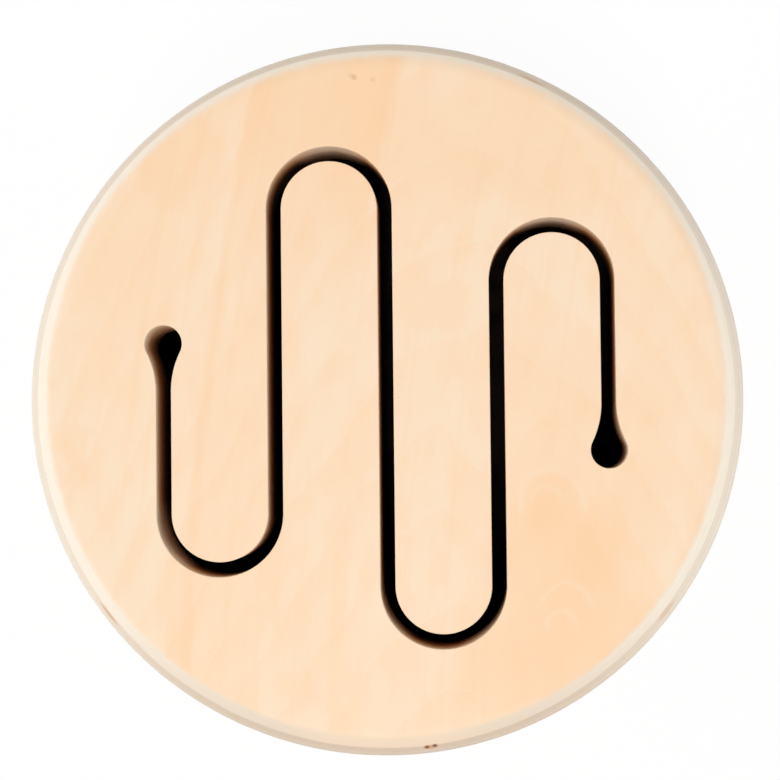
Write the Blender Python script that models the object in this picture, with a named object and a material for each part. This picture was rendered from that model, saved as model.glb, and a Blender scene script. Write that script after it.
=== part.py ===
"""Wooden tongue drum for small children, in metres, +Z up, standing on the floor at z = 0.

A round plywood head with one snaking slot is glued on a bent plywood shell. Two lining hoops inside the
shell carry the head and the base. The base is screwed on from below and stands on four rubber feet.
"""

import bpy
import bmesh
from math import acos, cos, pi, radians, sin, sqrt, tau

# Head
HEAD_DIAMETER = 0.195
HEAD_THICKNESS = 0.018
HEAD_EDGE_ROUND = 0.008

# Slot in the head, the same when turned half round: five arms, four turns, a hole at each end
SLOT_WIDTH = 0.004
ARM_PITCH = 0.030
LONG_TURN_Y = 0.051
SHORT_TURN_Y = 0.031
END_HOLE_Y = 0.015
END_HOLE_DIAMETER = 0.010
END_FLARE_RADIUS = 0.024

# Shell and lining hoops
SHELL_HEIGHT = 0.067
SHELL_WALL = 0.005
SCARF_LENGTH = 0.030
HOOP_WIDTH = 0.008
HOOP_HEIGHT = 0.016

# Base
BASE_THICKNESS = 0.012
BASE_EDGE_ROUND = 0.004
REBATE_DEPTH = 0.003

# Countersunk screws from the base into the lower hoop
BASE_SCREW_COUNT = 6
BASE_SCREW_LENGTH = 0.022
BASE_SCREW_DIAMETER = 0.0035
BASE_SCREW_HEAD_DIAMETER = 0.007
BASE_SCREW_SINK = 0.0004

# Rubber feet, each held by a pan head screw on a washer
FOOT_COUNT = 4
FOOT_CIRCLE_RADIUS = 0.066
FOOT_HEIGHT = 0.008
FOOT_TOP_DIAMETER = 0.020
FOOT_BOTTOM_DIAMETER = 0.0165
FOOT_EDGE_ROUND = 0.0012
FOOT_WEB = 0.0025
FOOT_RECESS_DIAMETER = 0.010
WASHER_THICKNESS = 0.001
FOOT_SCREW_LENGTH = 0.010
FOOT_SCREW_DIAMETER = 0.0035
FOOT_SCREW_HEAD_DIAMETER = 0.007
FOOT_SCREW_HEAD_HEIGHT = 0.0022

# Room left between pieces that touch, and how far a cutter runs past the face that it cuts
SEAT_GAP = 0.0003
CUT_PAST = 0.002

# Straight sides that stand for a full circle, or for a stretch of one
BOARD_SIDES = 80
FOOT_SIDES = 28
SCREW_SIDES = 16
TURN_STEPS = 18
HOLE_STEPS = 14
FLARE_STEPS = 6
SCARF_STEPS = 8
EDGE_STEPS = 8
SMALL_EDGE_STEPS = 4

# Faces that meet at more than this stay crisp
CREASE_ANGLE = radians(30)

# Heights, worked up from the floor
base_bottom = FOOT_HEIGHT + SEAT_GAP
base_top = base_bottom + BASE_THICKNESS
shell_bottom = base_top - REBATE_DEPTH + SEAT_GAP
shell_top = shell_bottom + SHELL_HEIGHT
head_bottom = shell_top + SEAT_GAP - REBATE_DEPTH
head_top = head_bottom + HEAD_THICKNESS
lower_hoop_bottom = base_top + SEAT_GAP
upper_hoop_bottom = head_bottom - SEAT_GAP - HOOP_HEIGHT

# Radii, worked in from the rim
head_radius = HEAD_DIAMETER / 2
shell_inner_radius = head_radius - SHELL_WALL
plug_radius = shell_inner_radius - SEAT_GAP
hoop_inner_radius = plug_radius - HOOP_WIDTH
base_screw_circle = plug_radius - HOOP_WIDTH / 2


def material(name, colour, roughness, metallic=0.0):
    """One Principled material in a plain colour."""
    made = bpy.data.materials.new(name)
    made.use_nodes = True
    shader = made.node_tree.nodes["Principled BSDF"]
    shader.inputs["Base Color"].default_value = (*colour, 1.0)
    shader.inputs["Roughness"].default_value = roughness
    shader.inputs["Metallic"].default_value = metallic
    return made


def arc(centre, radius, start, end, steps):
    """Points on an arc from one angle to another, both ends included."""
    turn = (end - start) / steps
    angles = [start + turn * i for i in range(steps + 1)]
    return [(centre[0] + radius * cos(a), centre[1] + radius * sin(a)) for a in angles]


def turned(profile, sides, ring=False):
    """Spin a profile of (radius, height) points round Z: closed for a ring, else with flat caps."""
    shape = bmesh.new()
    verts = [shape.verts.new((r, 0.0, z)) for r, z in profile]
    edges = [shape.edges.new(pair) for pair in zip(verts, verts[1:])]
    if ring:
        edges.append(shape.edges.new((verts[-1], verts[0])))
    bmesh.ops.spin(shape, geom=verts + edges, cent=(0, 0, 0), axis=(0, 0, 1), angle=tau,
                   steps=sides, use_merge=True)
    bmesh.ops.holes_fill(shape, edges=shape.edges, sides=sides)
    bmesh.ops.recalc_face_normals(shape, faces=shape.faces)
    return shape


def extruded(outline, bottom, top):
    """A closed prism over a plan outline."""
    shape = bmesh.new()
    floor = shape.faces.new([shape.verts.new((x, y, bottom)) for x, y in outline])
    grown = bmesh.ops.extrude_face_region(shape, geom=[floor])
    upper = [item for item in grown["geom"] if isinstance(item, bmesh.types.BMVert)]
    bmesh.ops.translate(shape, verts=upper, vec=(0, 0, top - bottom))
    bmesh.ops.recalc_face_normals(shape, faces=shape.faces)
    return shape


def mesh_of(name, shape, finish=None):
    """Turn a bmesh into a mesh, smooth on its round faces, with its material."""
    mesh = bpy.data.meshes.new(name)
    shape.to_mesh(mesh)
    shape.free()
    mesh.shade_smooth()
    mesh.set_sharp_from_angle(angle=CREASE_ANGLE)
    if finish:
        mesh.materials.append(finish)
    return mesh


def piece(name, mesh, place=(0, 0, 0)):
    """A named piece of the drum."""
    made = bpy.data.objects.new(name, mesh)
    made.location = place
    made.parent = drum
    bpy.context.collection.objects.link(made)
    return made


def cutter(name, mesh, place=(0, 0, 0)):
    """A shape that is only there to be cut out of other pieces."""
    made = piece(name, mesh, place)
    made.hide_render = True
    made.display_type = "WIRE"
    return made


def cut(target, tool):
    """Take a cutter out of a piece."""
    step = target.modifiers.new(tool.name, "BOOLEAN")
    step.operation = "DIFFERENCE"
    step.solver = "EXACT"
    step.object = tool


def around(count, radius, first_angle):
    """Places evenly round a circle."""
    angles = [first_angle + tau * i / count for i in range(count)]
    return [(radius * cos(a), radius * sin(a)) for a in angles]


def half_round(point):
    """A plan point turned half round the drum's axis."""
    return (-point[0], -point[1])


def slot_end(side):
    """Half of the left end hole, from its top, round on one side and down its flare to the slot's edge."""
    half = SLOT_WIDTH / 2
    hole = END_HOLE_DIAMETER / 2
    centre = (-2 * ARM_PITCH, END_HOLE_Y)
    reach = hole + END_FLARE_RADIUS
    aside = half + END_FLARE_RADIUS
    lean = acos(aside / reach)
    flare_centre = (centre[0] + side * aside, centre[1] - sqrt(reach ** 2 - aside ** 2))
    if side < 0:
        round_part = arc(centre, hole, pi / 2, pi + lean, HOLE_STEPS)
        flare = arc(flare_centre, END_FLARE_RADIUS, lean, 0, FLARE_STEPS)
    else:
        round_part = arc(centre, hole, pi / 2, -lean, HOLE_STEPS)
        flare = arc(flare_centre, END_FLARE_RADIUS, pi - lean, pi, FLARE_STEPS)
    return round_part + flare[1:]


def slot_outline():
    """Plan outline of the slot: one side from end hole to end hole, then the same turned half round."""
    turn = ARM_PITCH / 2
    outer = turn + SLOT_WIDTH / 2
    inner = turn - SLOT_WIDTH / 2
    side = slot_end(-1)
    side += arc((-3 * turn, -SHORT_TURN_Y), outer, pi, tau, TURN_STEPS)
    side += arc((-turn, LONG_TURN_Y), inner, pi, 0, TURN_STEPS)
    side += arc((turn, -LONG_TURN_Y), outer, pi, tau, TURN_STEPS)
    side += arc((3 * turn, SHORT_TURN_Y), inner, pi, 0, TURN_STEPS)
    side += [half_round(point) for point in reversed(slot_end(1))]
    return side[:-1] + [half_round(point) for point in side[:-1]]


def make_head():
    """Rebated disc with a rounded top edge, cut through by the slot."""
    shoulder = head_bottom + REBATE_DEPTH
    centre = (head_radius - HEAD_EDGE_ROUND, head_top - HEAD_EDGE_ROUND)
    profile = arc(centre, HEAD_EDGE_ROUND, pi / 2, 0, EDGE_STEPS)
    profile += [(head_radius, shoulder), (plug_radius, shoulder), (plug_radius, head_bottom)]
    head = piece("head", mesh_of("head", turned(profile, BOARD_SIDES), birch_board))
    slot = extruded(slot_outline(), head_bottom - CUT_PAST, head_top + CUT_PAST)
    cut(head, cutter("slot_cutter", mesh_of("slot_cutter", slot)))


def scarf_slit():
    """Plan outline of the scarf joint's glue line, which slants through the shell's wall at the back."""
    middle = head_radius - SHELL_WALL / 2
    slope = SCARF_LENGTH / SHELL_WALL / middle
    outside = head_radius + CUT_PAST
    step = (SHELL_WALL + 2 * CUT_PAST) / SCARF_STEPS
    radii = [outside - step * i for i in range(SCARF_STEPS + 1)]
    near = [(r, pi / 2 + slope * (r - middle)) for r in radii]
    far = [(r, angle - slope * SEAT_GAP) for r, angle in reversed(near)]
    return [(r * cos(angle), r * sin(angle)) for r, angle in near + far]


def make_shell():
    """Bent cylinder, slit at the back where its two ends lap in a scarf joint."""
    profile = [(head_radius, shell_top), (head_radius, shell_bottom),
               (shell_inner_radius, shell_bottom), (shell_inner_radius, shell_top)]
    shell = piece("shell", mesh_of("shell", turned(profile, BOARD_SIDES, ring=True), birch_shell))
    scarf = extruded(scarf_slit(), shell_bottom - CUT_PAST, shell_top + CUT_PAST)
    cut(shell, cutter("scarf_cutter", mesh_of("scarf_cutter", scarf)))


def make_hoop(name, bottom):
    """Lining ring inside the shell."""
    top = bottom + HOOP_HEIGHT
    profile = [(plug_radius, top), (plug_radius, bottom),
               (hoop_inner_radius, bottom), (hoop_inner_radius, top)]
    return piece(name, mesh_of(name, turned(profile, BOARD_SIDES, ring=True), beech))


def make_base():
    """Rebated disc with a rounded lower edge."""
    shoulder = base_top - REBATE_DEPTH
    centre = (head_radius - BASE_EDGE_ROUND, base_bottom + BASE_EDGE_ROUND)
    profile = [(plug_radius, base_top), (plug_radius, shoulder), (head_radius, shoulder)]
    profile += arc(centre, BASE_EDGE_ROUND, 0, -pi / 2, SMALL_EDGE_STEPS)
    return piece("base", mesh_of("base", turned(profile, BOARD_SIDES), birch_board))


def base_screw_profile(room=0.0):
    """Countersunk screw pointing up, from the flat of its head at height 0. Room widens it all round."""
    head = BASE_SCREW_HEAD_DIAMETER / 2
    shank = BASE_SCREW_DIAMETER / 2
    cone = head - shank
    point = BASE_SCREW_LENGTH - shank
    return [(head + room, 0.0), (shank + room, cone), (shank + room, point),
            (shank / 4 + room, BASE_SCREW_LENGTH + room)]


def make_base_screws(base, lower_hoop):
    """Screws up through the base into the lower hoop, each in its own hole."""
    height = base_bottom + BASE_SCREW_SINK
    screw = mesh_of("base_screw", turned(base_screw_profile(), SCREW_SIDES), zinc)
    mouth = (BASE_SCREW_HEAD_DIAMETER / 2 + SEAT_GAP, -CUT_PAST)
    hole = mesh_of("base_screw_hole", turned([mouth] + base_screw_profile(SEAT_GAP), SCREW_SIDES))
    places = around(BASE_SCREW_COUNT, base_screw_circle, pi / BASE_SCREW_COUNT)
    for number, (x, y) in enumerate(places, 1):
        piece(f"base_screw_{number}", screw, (x, y, height))
        tool = cutter(f"base_screw_hole_{number}", hole, (x, y, height))
        cut(base, tool)
        cut(lower_hoop, tool)


def foot_profile():
    """Tapered rubber foot with a recess below and a screw hole through its web."""
    top = FOOT_TOP_DIAMETER / 2
    bottom = FOOT_BOTTOM_DIAMETER / 2
    recess = FOOT_RECESS_DIAMETER / 2
    hole = FOOT_SCREW_DIAMETER / 2 + SEAT_GAP
    web_bottom = FOOT_HEIGHT - FOOT_WEB
    centre = (bottom - FOOT_EDGE_ROUND, FOOT_EDGE_ROUND)
    rounded = arc(centre, FOOT_EDGE_ROUND, 0, -pi / 2, SMALL_EDGE_STEPS)
    outside = [(hole, FOOT_HEIGHT), (top, FOOT_HEIGHT)] + rounded
    return outside + [(recess, 0.0), (recess, web_bottom), (hole, web_bottom)]


def foot_screw_profile():
    """Pan head screw pointing up, with the underside of its head at height 0."""
    head = FOOT_SCREW_HEAD_DIAMETER / 2
    shank = FOOT_SCREW_DIAMETER / 2
    crown = FOOT_SCREW_HEAD_HEIGHT / 2
    rounded = arc((head - crown, -crown), crown, -pi / 2, 0, SMALL_EDGE_STEPS)
    shaft = [(shank, 0.0), (shank, FOOT_SCREW_LENGTH - shank), (shank / 4, FOOT_SCREW_LENGTH)]
    return rounded + [(head, 0.0)] + shaft


def make_feet(base):
    """Feet under the base, each with its washer and screw, and the screw's hole in the base."""
    washer_top = FOOT_HEIGHT - FOOT_WEB - SEAT_GAP
    washer_bottom = washer_top - WASHER_THICKNESS
    screw_seat = washer_bottom - SEAT_GAP
    washer_outer = FOOT_RECESS_DIAMETER / 2 - SEAT_GAP
    hole_radius = FOOT_SCREW_DIAMETER / 2 + SEAT_GAP
    washer_profile = [(hole_radius, washer_top), (washer_outer, washer_top),
                      (washer_outer, washer_bottom), (hole_radius, washer_bottom)]
    hole_profile = [(hole_radius, base_bottom - CUT_PAST),
                    (hole_radius, screw_seat + FOOT_SCREW_LENGTH + SEAT_GAP)]
    foot = mesh_of("foot", turned(foot_profile(), FOOT_SIDES, ring=True), rubber)
    washer = mesh_of("foot_washer", turned(washer_profile, SCREW_SIDES, ring=True), zinc)
    screw = mesh_of("foot_screw", turned(foot_screw_profile(), SCREW_SIDES), zinc)
    hole = mesh_of("foot_screw_hole", turned(hole_profile, SCREW_SIDES))
    for number, (x, y) in enumerate(around(FOOT_COUNT, FOOT_CIRCLE_RADIUS, pi / FOOT_COUNT), 1):
        piece(f"foot_{number}", foot, (x, y, 0))
        piece(f"foot_washer_{number}", washer, (x, y, 0))
        piece(f"foot_screw_{number}", screw, (x, y, screw_seat))
        cut(base, cutter(f"foot_screw_hole_{number}", hole, (x, y, 0)))


for old in list(bpy.data.objects):
    bpy.data.objects.remove(old, do_unlink=True)

birch_board = material("birch_board", (0.90, 0.66, 0.43), 0.55)
birch_shell = material("birch_shell", (0.86, 0.62, 0.40), 0.55)
beech = material("beech", (0.72, 0.48, 0.30), 0.6)
rubber = material("rubber", (0.03, 0.03, 0.03), 0.8)
zinc = material("zinc", (0.72, 0.72, 0.70), 0.35, 1.0)

drum = bpy.data.objects.new("toy_drum", None)
bpy.context.collection.objects.link(drum)

make_head()
make_shell()
make_hoop("upper_hoop", upper_hoop_bottom)
lower_hoop = make_hoop("lower_hoop", lower_hoop_bottom)
base = make_base()
make_base_screws(base, lower_hoop)
make_feet(base)
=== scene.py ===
# %% [markdown]
# # A wooden tongue drum
#
# The drum is a toy for small children. A round plywood head sits on a bent birch shell, and one snaking
# slot cuts the head into four tongues that sound when they are struck. Each piece could be placed by eye,
# but the packed model already says where everything is. So it is loaded first, and the finished pieces
# below take their sizes from its plain solids and stand in for them one by one.

# %% Load the packed model
from math import acos, cos, pi, radians, sin, sqrt, tau

import bmesh
import bpy
from mathutils import Matrix, Vector


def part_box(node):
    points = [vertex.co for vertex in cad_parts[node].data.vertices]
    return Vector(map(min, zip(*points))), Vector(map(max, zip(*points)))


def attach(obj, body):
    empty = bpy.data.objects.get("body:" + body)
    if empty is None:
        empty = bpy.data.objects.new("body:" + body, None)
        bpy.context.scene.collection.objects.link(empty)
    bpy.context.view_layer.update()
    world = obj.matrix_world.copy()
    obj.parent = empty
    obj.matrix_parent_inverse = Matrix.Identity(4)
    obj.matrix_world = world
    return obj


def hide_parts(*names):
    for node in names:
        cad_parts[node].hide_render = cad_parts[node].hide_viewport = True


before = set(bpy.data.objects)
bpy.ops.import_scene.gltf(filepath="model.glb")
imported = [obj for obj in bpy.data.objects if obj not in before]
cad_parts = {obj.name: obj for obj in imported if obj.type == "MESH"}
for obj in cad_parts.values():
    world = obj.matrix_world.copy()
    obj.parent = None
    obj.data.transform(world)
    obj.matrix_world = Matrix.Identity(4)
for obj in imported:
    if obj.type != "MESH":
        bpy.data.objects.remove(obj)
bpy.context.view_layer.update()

# %% [markdown]
# ## Sums with sockets
#
# A finish is a graph of nodes. Written node by node it is long and hard to read, so one small class
# stands for an output socket. Sums with it add Math nodes, and its `node` method adds any other kind.
# Colours are mixed with a Mix node, because a Math node would turn them grey.

# %% A socket that can be used in sums


class Wire:
    """One output socket of a node tree. The first wire of a tree has no socket and only makes nodes."""

    def __init__(self, tree, socket=None):
        self.tree = tree
        self.socket = socket

    def plug(self, node, inputs):
        """Set a node's sockets to numbers, or link them to other wires."""
        for key, value in inputs.items():
            if isinstance(value, Wire):
                self.tree.links.new(value.socket, node.inputs[key])
            else:
                node.inputs[key].default_value = value

    def node(self, kind, settings, inputs, out=0):
        """Add a node: its settings first, then the values or links of its sockets."""
        made = self.tree.nodes.new(kind)
        for key, value in settings.items():
            if key == "stops":
                self.set_stops(made.color_ramp.elements, value)
            else:
                setattr(made, key, value)
        self.plug(made, inputs)
        return Wire(self.tree, made.outputs[out])

    def set_stops(self, elements, stops):
        """Give a ramp its places and colours. A new ramp has two stops already."""
        for stop in stops[2:]:
            elements.new(stop[0])
        for element, (place, colour) in zip(elements, stops):
            element.position = place
            element.color = colour

    def out(self, name):
        """Another output of the same node."""
        return Wire(self.tree, self.socket.node.outputs[name])

    def math(self, operation, *values):
        return self.node("ShaderNodeMath", {"operation": operation}, dict(enumerate(values)))

    def __add__(self, other):
        return self.math("ADD", self, other)

    def __radd__(self, other):
        return self.math("ADD", other, self)

    def __sub__(self, other):
        return self.math("SUBTRACT", self, other)

    def __rsub__(self, other):
        return self.math("SUBTRACT", other, self)

    def __mul__(self, other):
        return self.math("MULTIPLY", self, other)

    def __rmul__(self, other):
        return self.math("MULTIPLY", other, self)

    def __truediv__(self, other):
        return self.math("DIVIDE", self, other)

    def __mod__(self, other):
        return self.math("FLOORED_MODULO", self, other)

    def __abs__(self):
        return self.math("ABSOLUTE", self)

    def fade(self, low, high):
        """0 below low, 1 above high, smooth between. Low above high turns it round."""
        settings = {"interpolation_type": "SMOOTHSTEP"}
        return self.node("ShaderNodeMapRange", settings, {"Value": self, "From Min": low, "From Max": high})

    def mix(self, without, full):
        """A colour that goes from one to the other as this wire goes from 0 to 1."""
        return self.node("ShaderNodeMix", {"data_type": "RGBA"}, {0: self, 6: without, 7: full}, 2)


print("sums:", [name for name in vars(Wire) if name.startswith("__r")])

# %% Starting a finish
MM = 0.001


def new_finish(name, constants):
    """A Principled material with its plain numbers set, its shader and the wire that makes its nodes."""
    made = bpy.data.materials.new(name)
    made.use_nodes = True
    shader = made.node_tree.nodes["Principled BSDF"]
    start = Wire(made.node_tree)
    start.plug(shader, constants)
    return made, shader, start


def millimetres(start):
    """The three coordinates of a point on the piece, in millimetres."""
    place = start.node("ShaderNodeTexCoord", {}, {}, "Object")
    x = start.node("ShaderNodeSeparateXYZ", {}, {0: place})
    return x * (1 / MM), x.out("Y") * (1 / MM), x.out("Z") * (1 / MM)


def noise(start, x, y, z, detail=2.0):
    """Smooth noise between 0 and 1. A step of 1 in x, y or z is about one lump."""
    place = start.node("ShaderNodeCombineXYZ", {}, {0: x, 1: y, 2: z})
    return start.node("ShaderNodeTexNoise", {}, {"Vector": place, "Scale": 1.0, "Detail": detail})


def bump(start, shader, height, depth):
    """Feed a height between 0 and 1 to the shader's normal, as a relief of that depth in metres."""
    relief = start.node("ShaderNodeBump", {}, {"Strength": 1.0, "Distance": depth, "Height": height})
    start.plug(shader, {"Normal": relief})


print("lengths in a finish are in millimetres")

# %% [markdown]
# ## Birch veneer
#
# Birch is pale and nearly even. What there is to see is warm and pale patches as wide as a thumb, faint
# wavy lines where the knife ran through the year rings, and fine fibres. A picture of wood could be laid
# over the drum, but it would stretch at the edges. All of the figure follows the grain, so the veneer is
# worked out from two lengths, across the grain and along it, and each is squeezed differently. The
# contrast stays very low: a stronger pattern would read as oak or ash.

# %% Veneer colours and figure
BIRCH_IOR = 1.45
FIBRE_RELIEF = 0.02 * MM
PEACH = (0.970, 0.722, 0.502, 1.0)
WARM_PEACH = (0.962, 0.628, 0.360, 1.0)
PALE_PEACH = (0.965, 0.755, 0.555, 1.0)
FIBRE_BROWN = (0.80, 0.52, 0.30, 1.0)


def veneer(start, across, along, rings, seed):
    """Colour of a birch face, and how dense its fibres are. Rings rise by 1 from year line to year line."""
    patches = noise(start, across / 26, along / 70, seed)
    blotches = noise(start, across / 6, along / 13, seed + 5.0, 3.0)
    streaks = noise(start, across / 2.8, along / 120, seed + 3.0, 3.0)
    fibres = noise(start, across / 0.35, along / 9, seed + 7.0)
    bends = noise(start, across / 16, along / 24, seed + 11.0, 3.0)
    year = (rings + bends * 0.6) % 1.0
    knife_lines = abs(year - 0.5).fade(0.475, 0.5) * blotches.fade(0.30, 0.55)
    colour = patches.fade(0.36, 0.62).mix(PALE_PEACH, PEACH)
    colour = (blotches.fade(0.42, 0.72) * 0.24).mix(colour, WARM_PEACH)
    colour = (blotches.fade(0.50, 0.28) * 0.20).mix(colour, PALE_PEACH)
    colour = (streaks.fade(0.50, 0.75) * 0.22).mix(colour, WARM_PEACH)
    colour = (year.fade(0.40, 1.0) * 0.18).mix(colour, WARM_PEACH)
    colour = (knife_lines * 0.60).mix(colour, PALE_PEACH)
    colour = (fibres.fade(0.52, 0.85) * 0.10).mix(colour, FIBRE_BROWN)
    return colour, fibres


print("veneer from", PALE_PEACH[:3], "to", WARM_PEACH[:3])

# %% [markdown]
# ## Plywood
#
# The head and the base are plywood. Where an edge is rounded over, the cut runs down through the plies
# and they show as rings: the face veneer stops first, then a whitish ply, then a greyer one with a thin
# dark glue line between. Painting rings on the rim would only be right from above. Here the plies are
# worked out from the depth below the face instead, so the same finish is right on the face, the round
# edge and the walls of the slot, as in a real board. Toward the two ends of the grain the rim shows cut
# fibres and is darker, the front end darker still with painted shade, and at the front the whitish ply
# is nearly as warm as the face.

# %% Plies by depth
FACE_PLY = 0.4
SECOND_PLY = 1.3
INNER_PLY = 1.32
CREAM_PLY = (0.975, 0.865, 0.725, 1.0)
BEIGE_PLY = (0.89, 0.772, 0.637, 1.0)
END_GRAIN_AND_FRONT_SHADE = (0.64, 0.48, 0.34, 1.0)
GLUE = (0.60, 0.42, 0.28, 1.0)
SANDING_TILT = 0.0015
THICKER_BACK = 0.65


def plies(start, x, y, z, board_bottom, board_top, face):
    """Colour of a board at any depth: its face veneer, then plies that change direction in turn."""
    ripple = noise(start, x / 14, y / 14, 2.0)
    worn = noise(start, x / 3, y / 3, 6.0, 3.0)
    middle = (board_bottom + board_top) / 2 / MM
    half = (board_top - board_bottom) / 2 / MM
    depth = half - abs(z - middle)
    layer = (depth + (ripple - 0.5) * 0.3 - FACE_PLY - SECOND_PLY) / INNER_PLY
    layer = layer.math("MAXIMUM", layer, -0.6)
    within = abs(layer % 1.0 - 0.5)
    turned = abs(layer % 2.0 - 0.5).fade(0.65, 0.35)
    turned = 1 - (1 - turned) * (1 - layer.fade(0.5, 0.9) * layer.fade(3.5, 2.5) * 0.65)
    long_fibres = noise(start, x / 5, y / 5, z / 0.12)
    end_pores = noise(start, x / 0.4, y / 0.4, z / 0.5)
    core = turned.mix(CREAM_PLY, BEIGE_PLY)
    core = (long_fibres.fade(0.50, 0.80) * 0.12).mix(core, GLUE)
    core = (end_pores.fade(0.58, 0.80) * 0.10).mix(core, GLUE)
    core = (within.fade(0.38, 0.50) * layer.fade(-0.3, 0.0) * 0.22).mix(core, GLUE)
    # cut fibres darken both ends of the grain; the extra darkening at the front is painted shade
    ends = abs(y).fade(30.0, 95.0) * (turned * 0.26 + 0.12) + y.fade(-50.0, -95.0) * 0.33
    core = ends.mix(core, END_GRAIN_AND_FRONT_SHADE)
    warm_front = y.fade(0.0, -50.0) * abs(x).fade(42.0, 8.0) * layer.fade(0.2, -0.2)
    core = (warm_front * 0.5).mix(core, PEACH)
    pressed = 1.1 - x * SANDING_TILT - y.fade(0.0, 60.0) * THICKER_BACK
    sanded = (depth * pressed + depth.fade(0.0, 0.1) * (worn - 0.5) * 0.25).fade(0.02, 0.52)
    return sanded.mix(face, core)


print("plies from the face down:", FACE_PLY, SECOND_PLY, INNER_PLY, "mm and so on")

# %% [markdown]
# ## Building pieces
#
# Each piece is built in a bmesh, turned into a mesh and given its body and the solid that it stands for.
# Flat faces stay flat and round ones are smoothed. Holes could be modelled face by face, but a Boolean
# modifier follows any outline. It is applied at once, so that what is left is a plain mesh.

# %% Making and cutting a piece
CREASE_ANGLE = radians(30)


def mesh_of(name, shape):
    """Merge, turn outwards and smooth a bmesh, leaving flat faces flat."""
    bmesh.ops.remove_doubles(shape, verts=shape.verts, dist=0.001 * MM)
    bmesh.ops.recalc_face_normals(shape, faces=shape.faces)
    mesh = bpy.data.meshes.new(name)
    shape.to_mesh(mesh)
    shape.free()
    mesh.shade_smooth()
    mesh.set_sharp_from_angle(angle=CREASE_ANGLE)
    for face in mesh.polygons:
        face.use_smooth = abs(face.normal.z) < 0.9999
    return mesh


def piece(name, mesh, finish, node):
    """Put a mesh in the scene as the finished form of one solid."""
    made = bpy.data.objects.new(name, mesh)
    mesh.materials.clear()
    mesh.materials.append(finish)
    bpy.context.collection.objects.link(made)
    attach(made, "root")
    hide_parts(node)
    print(name, "stands for", node, "with", len(mesh.polygons), "faces")


def cut(shape, tool):
    """The bmesh of one shape with another taken out of it."""
    body = bpy.data.objects.new("board_to_cut", mesh_of("board_to_cut", shape))
    knife = bpy.data.objects.new("knife", mesh_of("knife", tool))
    bpy.context.collection.objects.link(body)
    bpy.context.collection.objects.link(knife)
    step = body.modifiers.new("cut", "BOOLEAN")
    step.operation = "DIFFERENCE"
    step.solver = "EXACT"
    step.object = knife
    ready = body.evaluated_get(bpy.context.evaluated_depsgraph_get())
    left = bmesh.new()
    left.from_mesh(ready.to_mesh())
    for used in (body, knife):
        mesh = used.data
        bpy.data.objects.remove(used)
        bpy.data.meshes.remove(mesh)
    return left


def round_edges(shape, chosen, radius, steps):
    """Round over the edges that a test picks."""
    edges = [edge for edge in shape.edges if chosen(edge)]
    bmesh.ops.bevel(shape, geom=edges, offset=radius, offset_type="OFFSET", segments=steps, profile=0.5,
                    affect="EDGES", material=-1, clamp_overlap=True)
    return len(edges)


def at_height(edge, height):
    """True for an edge that lies level at that height."""
    return all(abs(vert.co.z - height) < 0.01 * MM for vert in edge.verts)


def pull(shape, face, z):
    """Extrude a level face to another height and return the moved face."""
    grown = bmesh.ops.extrude_discrete_faces(shape, faces=[face])["faces"][0]
    bmesh.ops.translate(shape, verts=grown.verts, vec=(0, 0, z - grown.verts[0].co.z))
    return grown


print("crease angle:", round(CREASE_ANGLE, 3))

# %% [markdown]
# ## The head
#
# The head is a disc with a large round-over, and a step below that drops into the shell. A spun profile
# would give it a pole in the middle of its face, so it starts as a circle instead. The circle is pulled
# down to the shoulder, inset and pulled down again for the step, and the upper edge loop is bevelled into
# the round-over.

# %% The disc
low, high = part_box("head")
HEAD_RADIUS = high.x
HEAD_TOP = high.z
HEAD_BOTTOM = low.z
STEP = 3.0 * MM
HEAD_EDGE_ROUND = 8.0 * MM
HEAD_EDGE_STEPS = 24
BOARD_SIDES = 256
SHELL_WALL = 5.0 * MM
FIT = 0.3 * MM
PLUG_RADIUS = HEAD_RADIUS - SHELL_WALL - FIT


def stepped_disc(outer_face, shoulder, inner_face):
    """A disc with a smaller step on its hidden side."""
    shape = bmesh.new()
    bmesh.ops.create_circle(shape, cap_ends=True, segments=BOARD_SIDES, radius=HEAD_RADIUS,
                            matrix=Matrix.Translation((0, 0, outer_face)))
    outer = shape.faces[:][0]
    grown = bmesh.ops.extrude_face_region(shape, geom=[outer], use_keep_orig=True)["geom"]
    cap = [item for item in grown if isinstance(item, bmesh.types.BMFace)][0]
    bmesh.ops.translate(shape, verts=cap.verts, vec=(0, 0, shoulder - outer_face))
    bmesh.ops.inset_region(shape, faces=[cap], thickness=HEAD_RADIUS - PLUG_RADIUS, use_even_offset=True)
    pull(shape, cap, inner_face)
    bmesh.ops.recalc_face_normals(shape, faces=shape.faces)
    return shape


disc = stepped_disc(HEAD_TOP, HEAD_BOTTOM + STEP, HEAD_BOTTOM)
rounded = round_edges(disc, lambda edge: at_height(edge, HEAD_TOP), HEAD_EDGE_ROUND, HEAD_EDGE_STEPS)
print("head disc:", rounded, "edges rounded over,", len(disc.faces), "faces")

# %% [markdown]
# ## The slot
#
# The slot is one line from a hole on the left to a hole on the right: five arms and four turns. A
# thickened curve could draw it, but not the flares that lead into the holes. So its edge is walked with
# one vertex: a straight stretch is an extrude and every bend is a spin about the bend's centre, which
# makes each arc exact and lets it meet the next without a corner. Only one side is walked. The drum looks
# the same turned half round, so a copy of that side turned half round closes the outline.

# %% Walking the slot's edge
SLOT_WIDTH = 4.0 * MM
ARM_PITCH = 30.0 * MM
LONG_TURN_Y = 51.0 * MM
SHORT_TURN_Y = 31.0 * MM
END_HOLE = Vector((-2 * ARM_PITCH, 15.0 * MM, HEAD_BOTTOM - STEP))
END_HOLE_RADIUS = 5.0 * MM
END_FLARE_RADIUS = 24.0 * MM
TURN_STEPS = 48
HOLE_STEPS = 40
FLARE_STEPS = 12

# each turn's centre, in arms from the drum's middle and along Y, and 1 at the front or -1 at the back
TURNS = ((-1.5, -SHORT_TURN_Y, 1), (-0.5, LONG_TURN_Y, -1), (0.5, -LONG_TURN_Y, 1), (1.5, SHORT_TURN_Y, -1))


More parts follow.
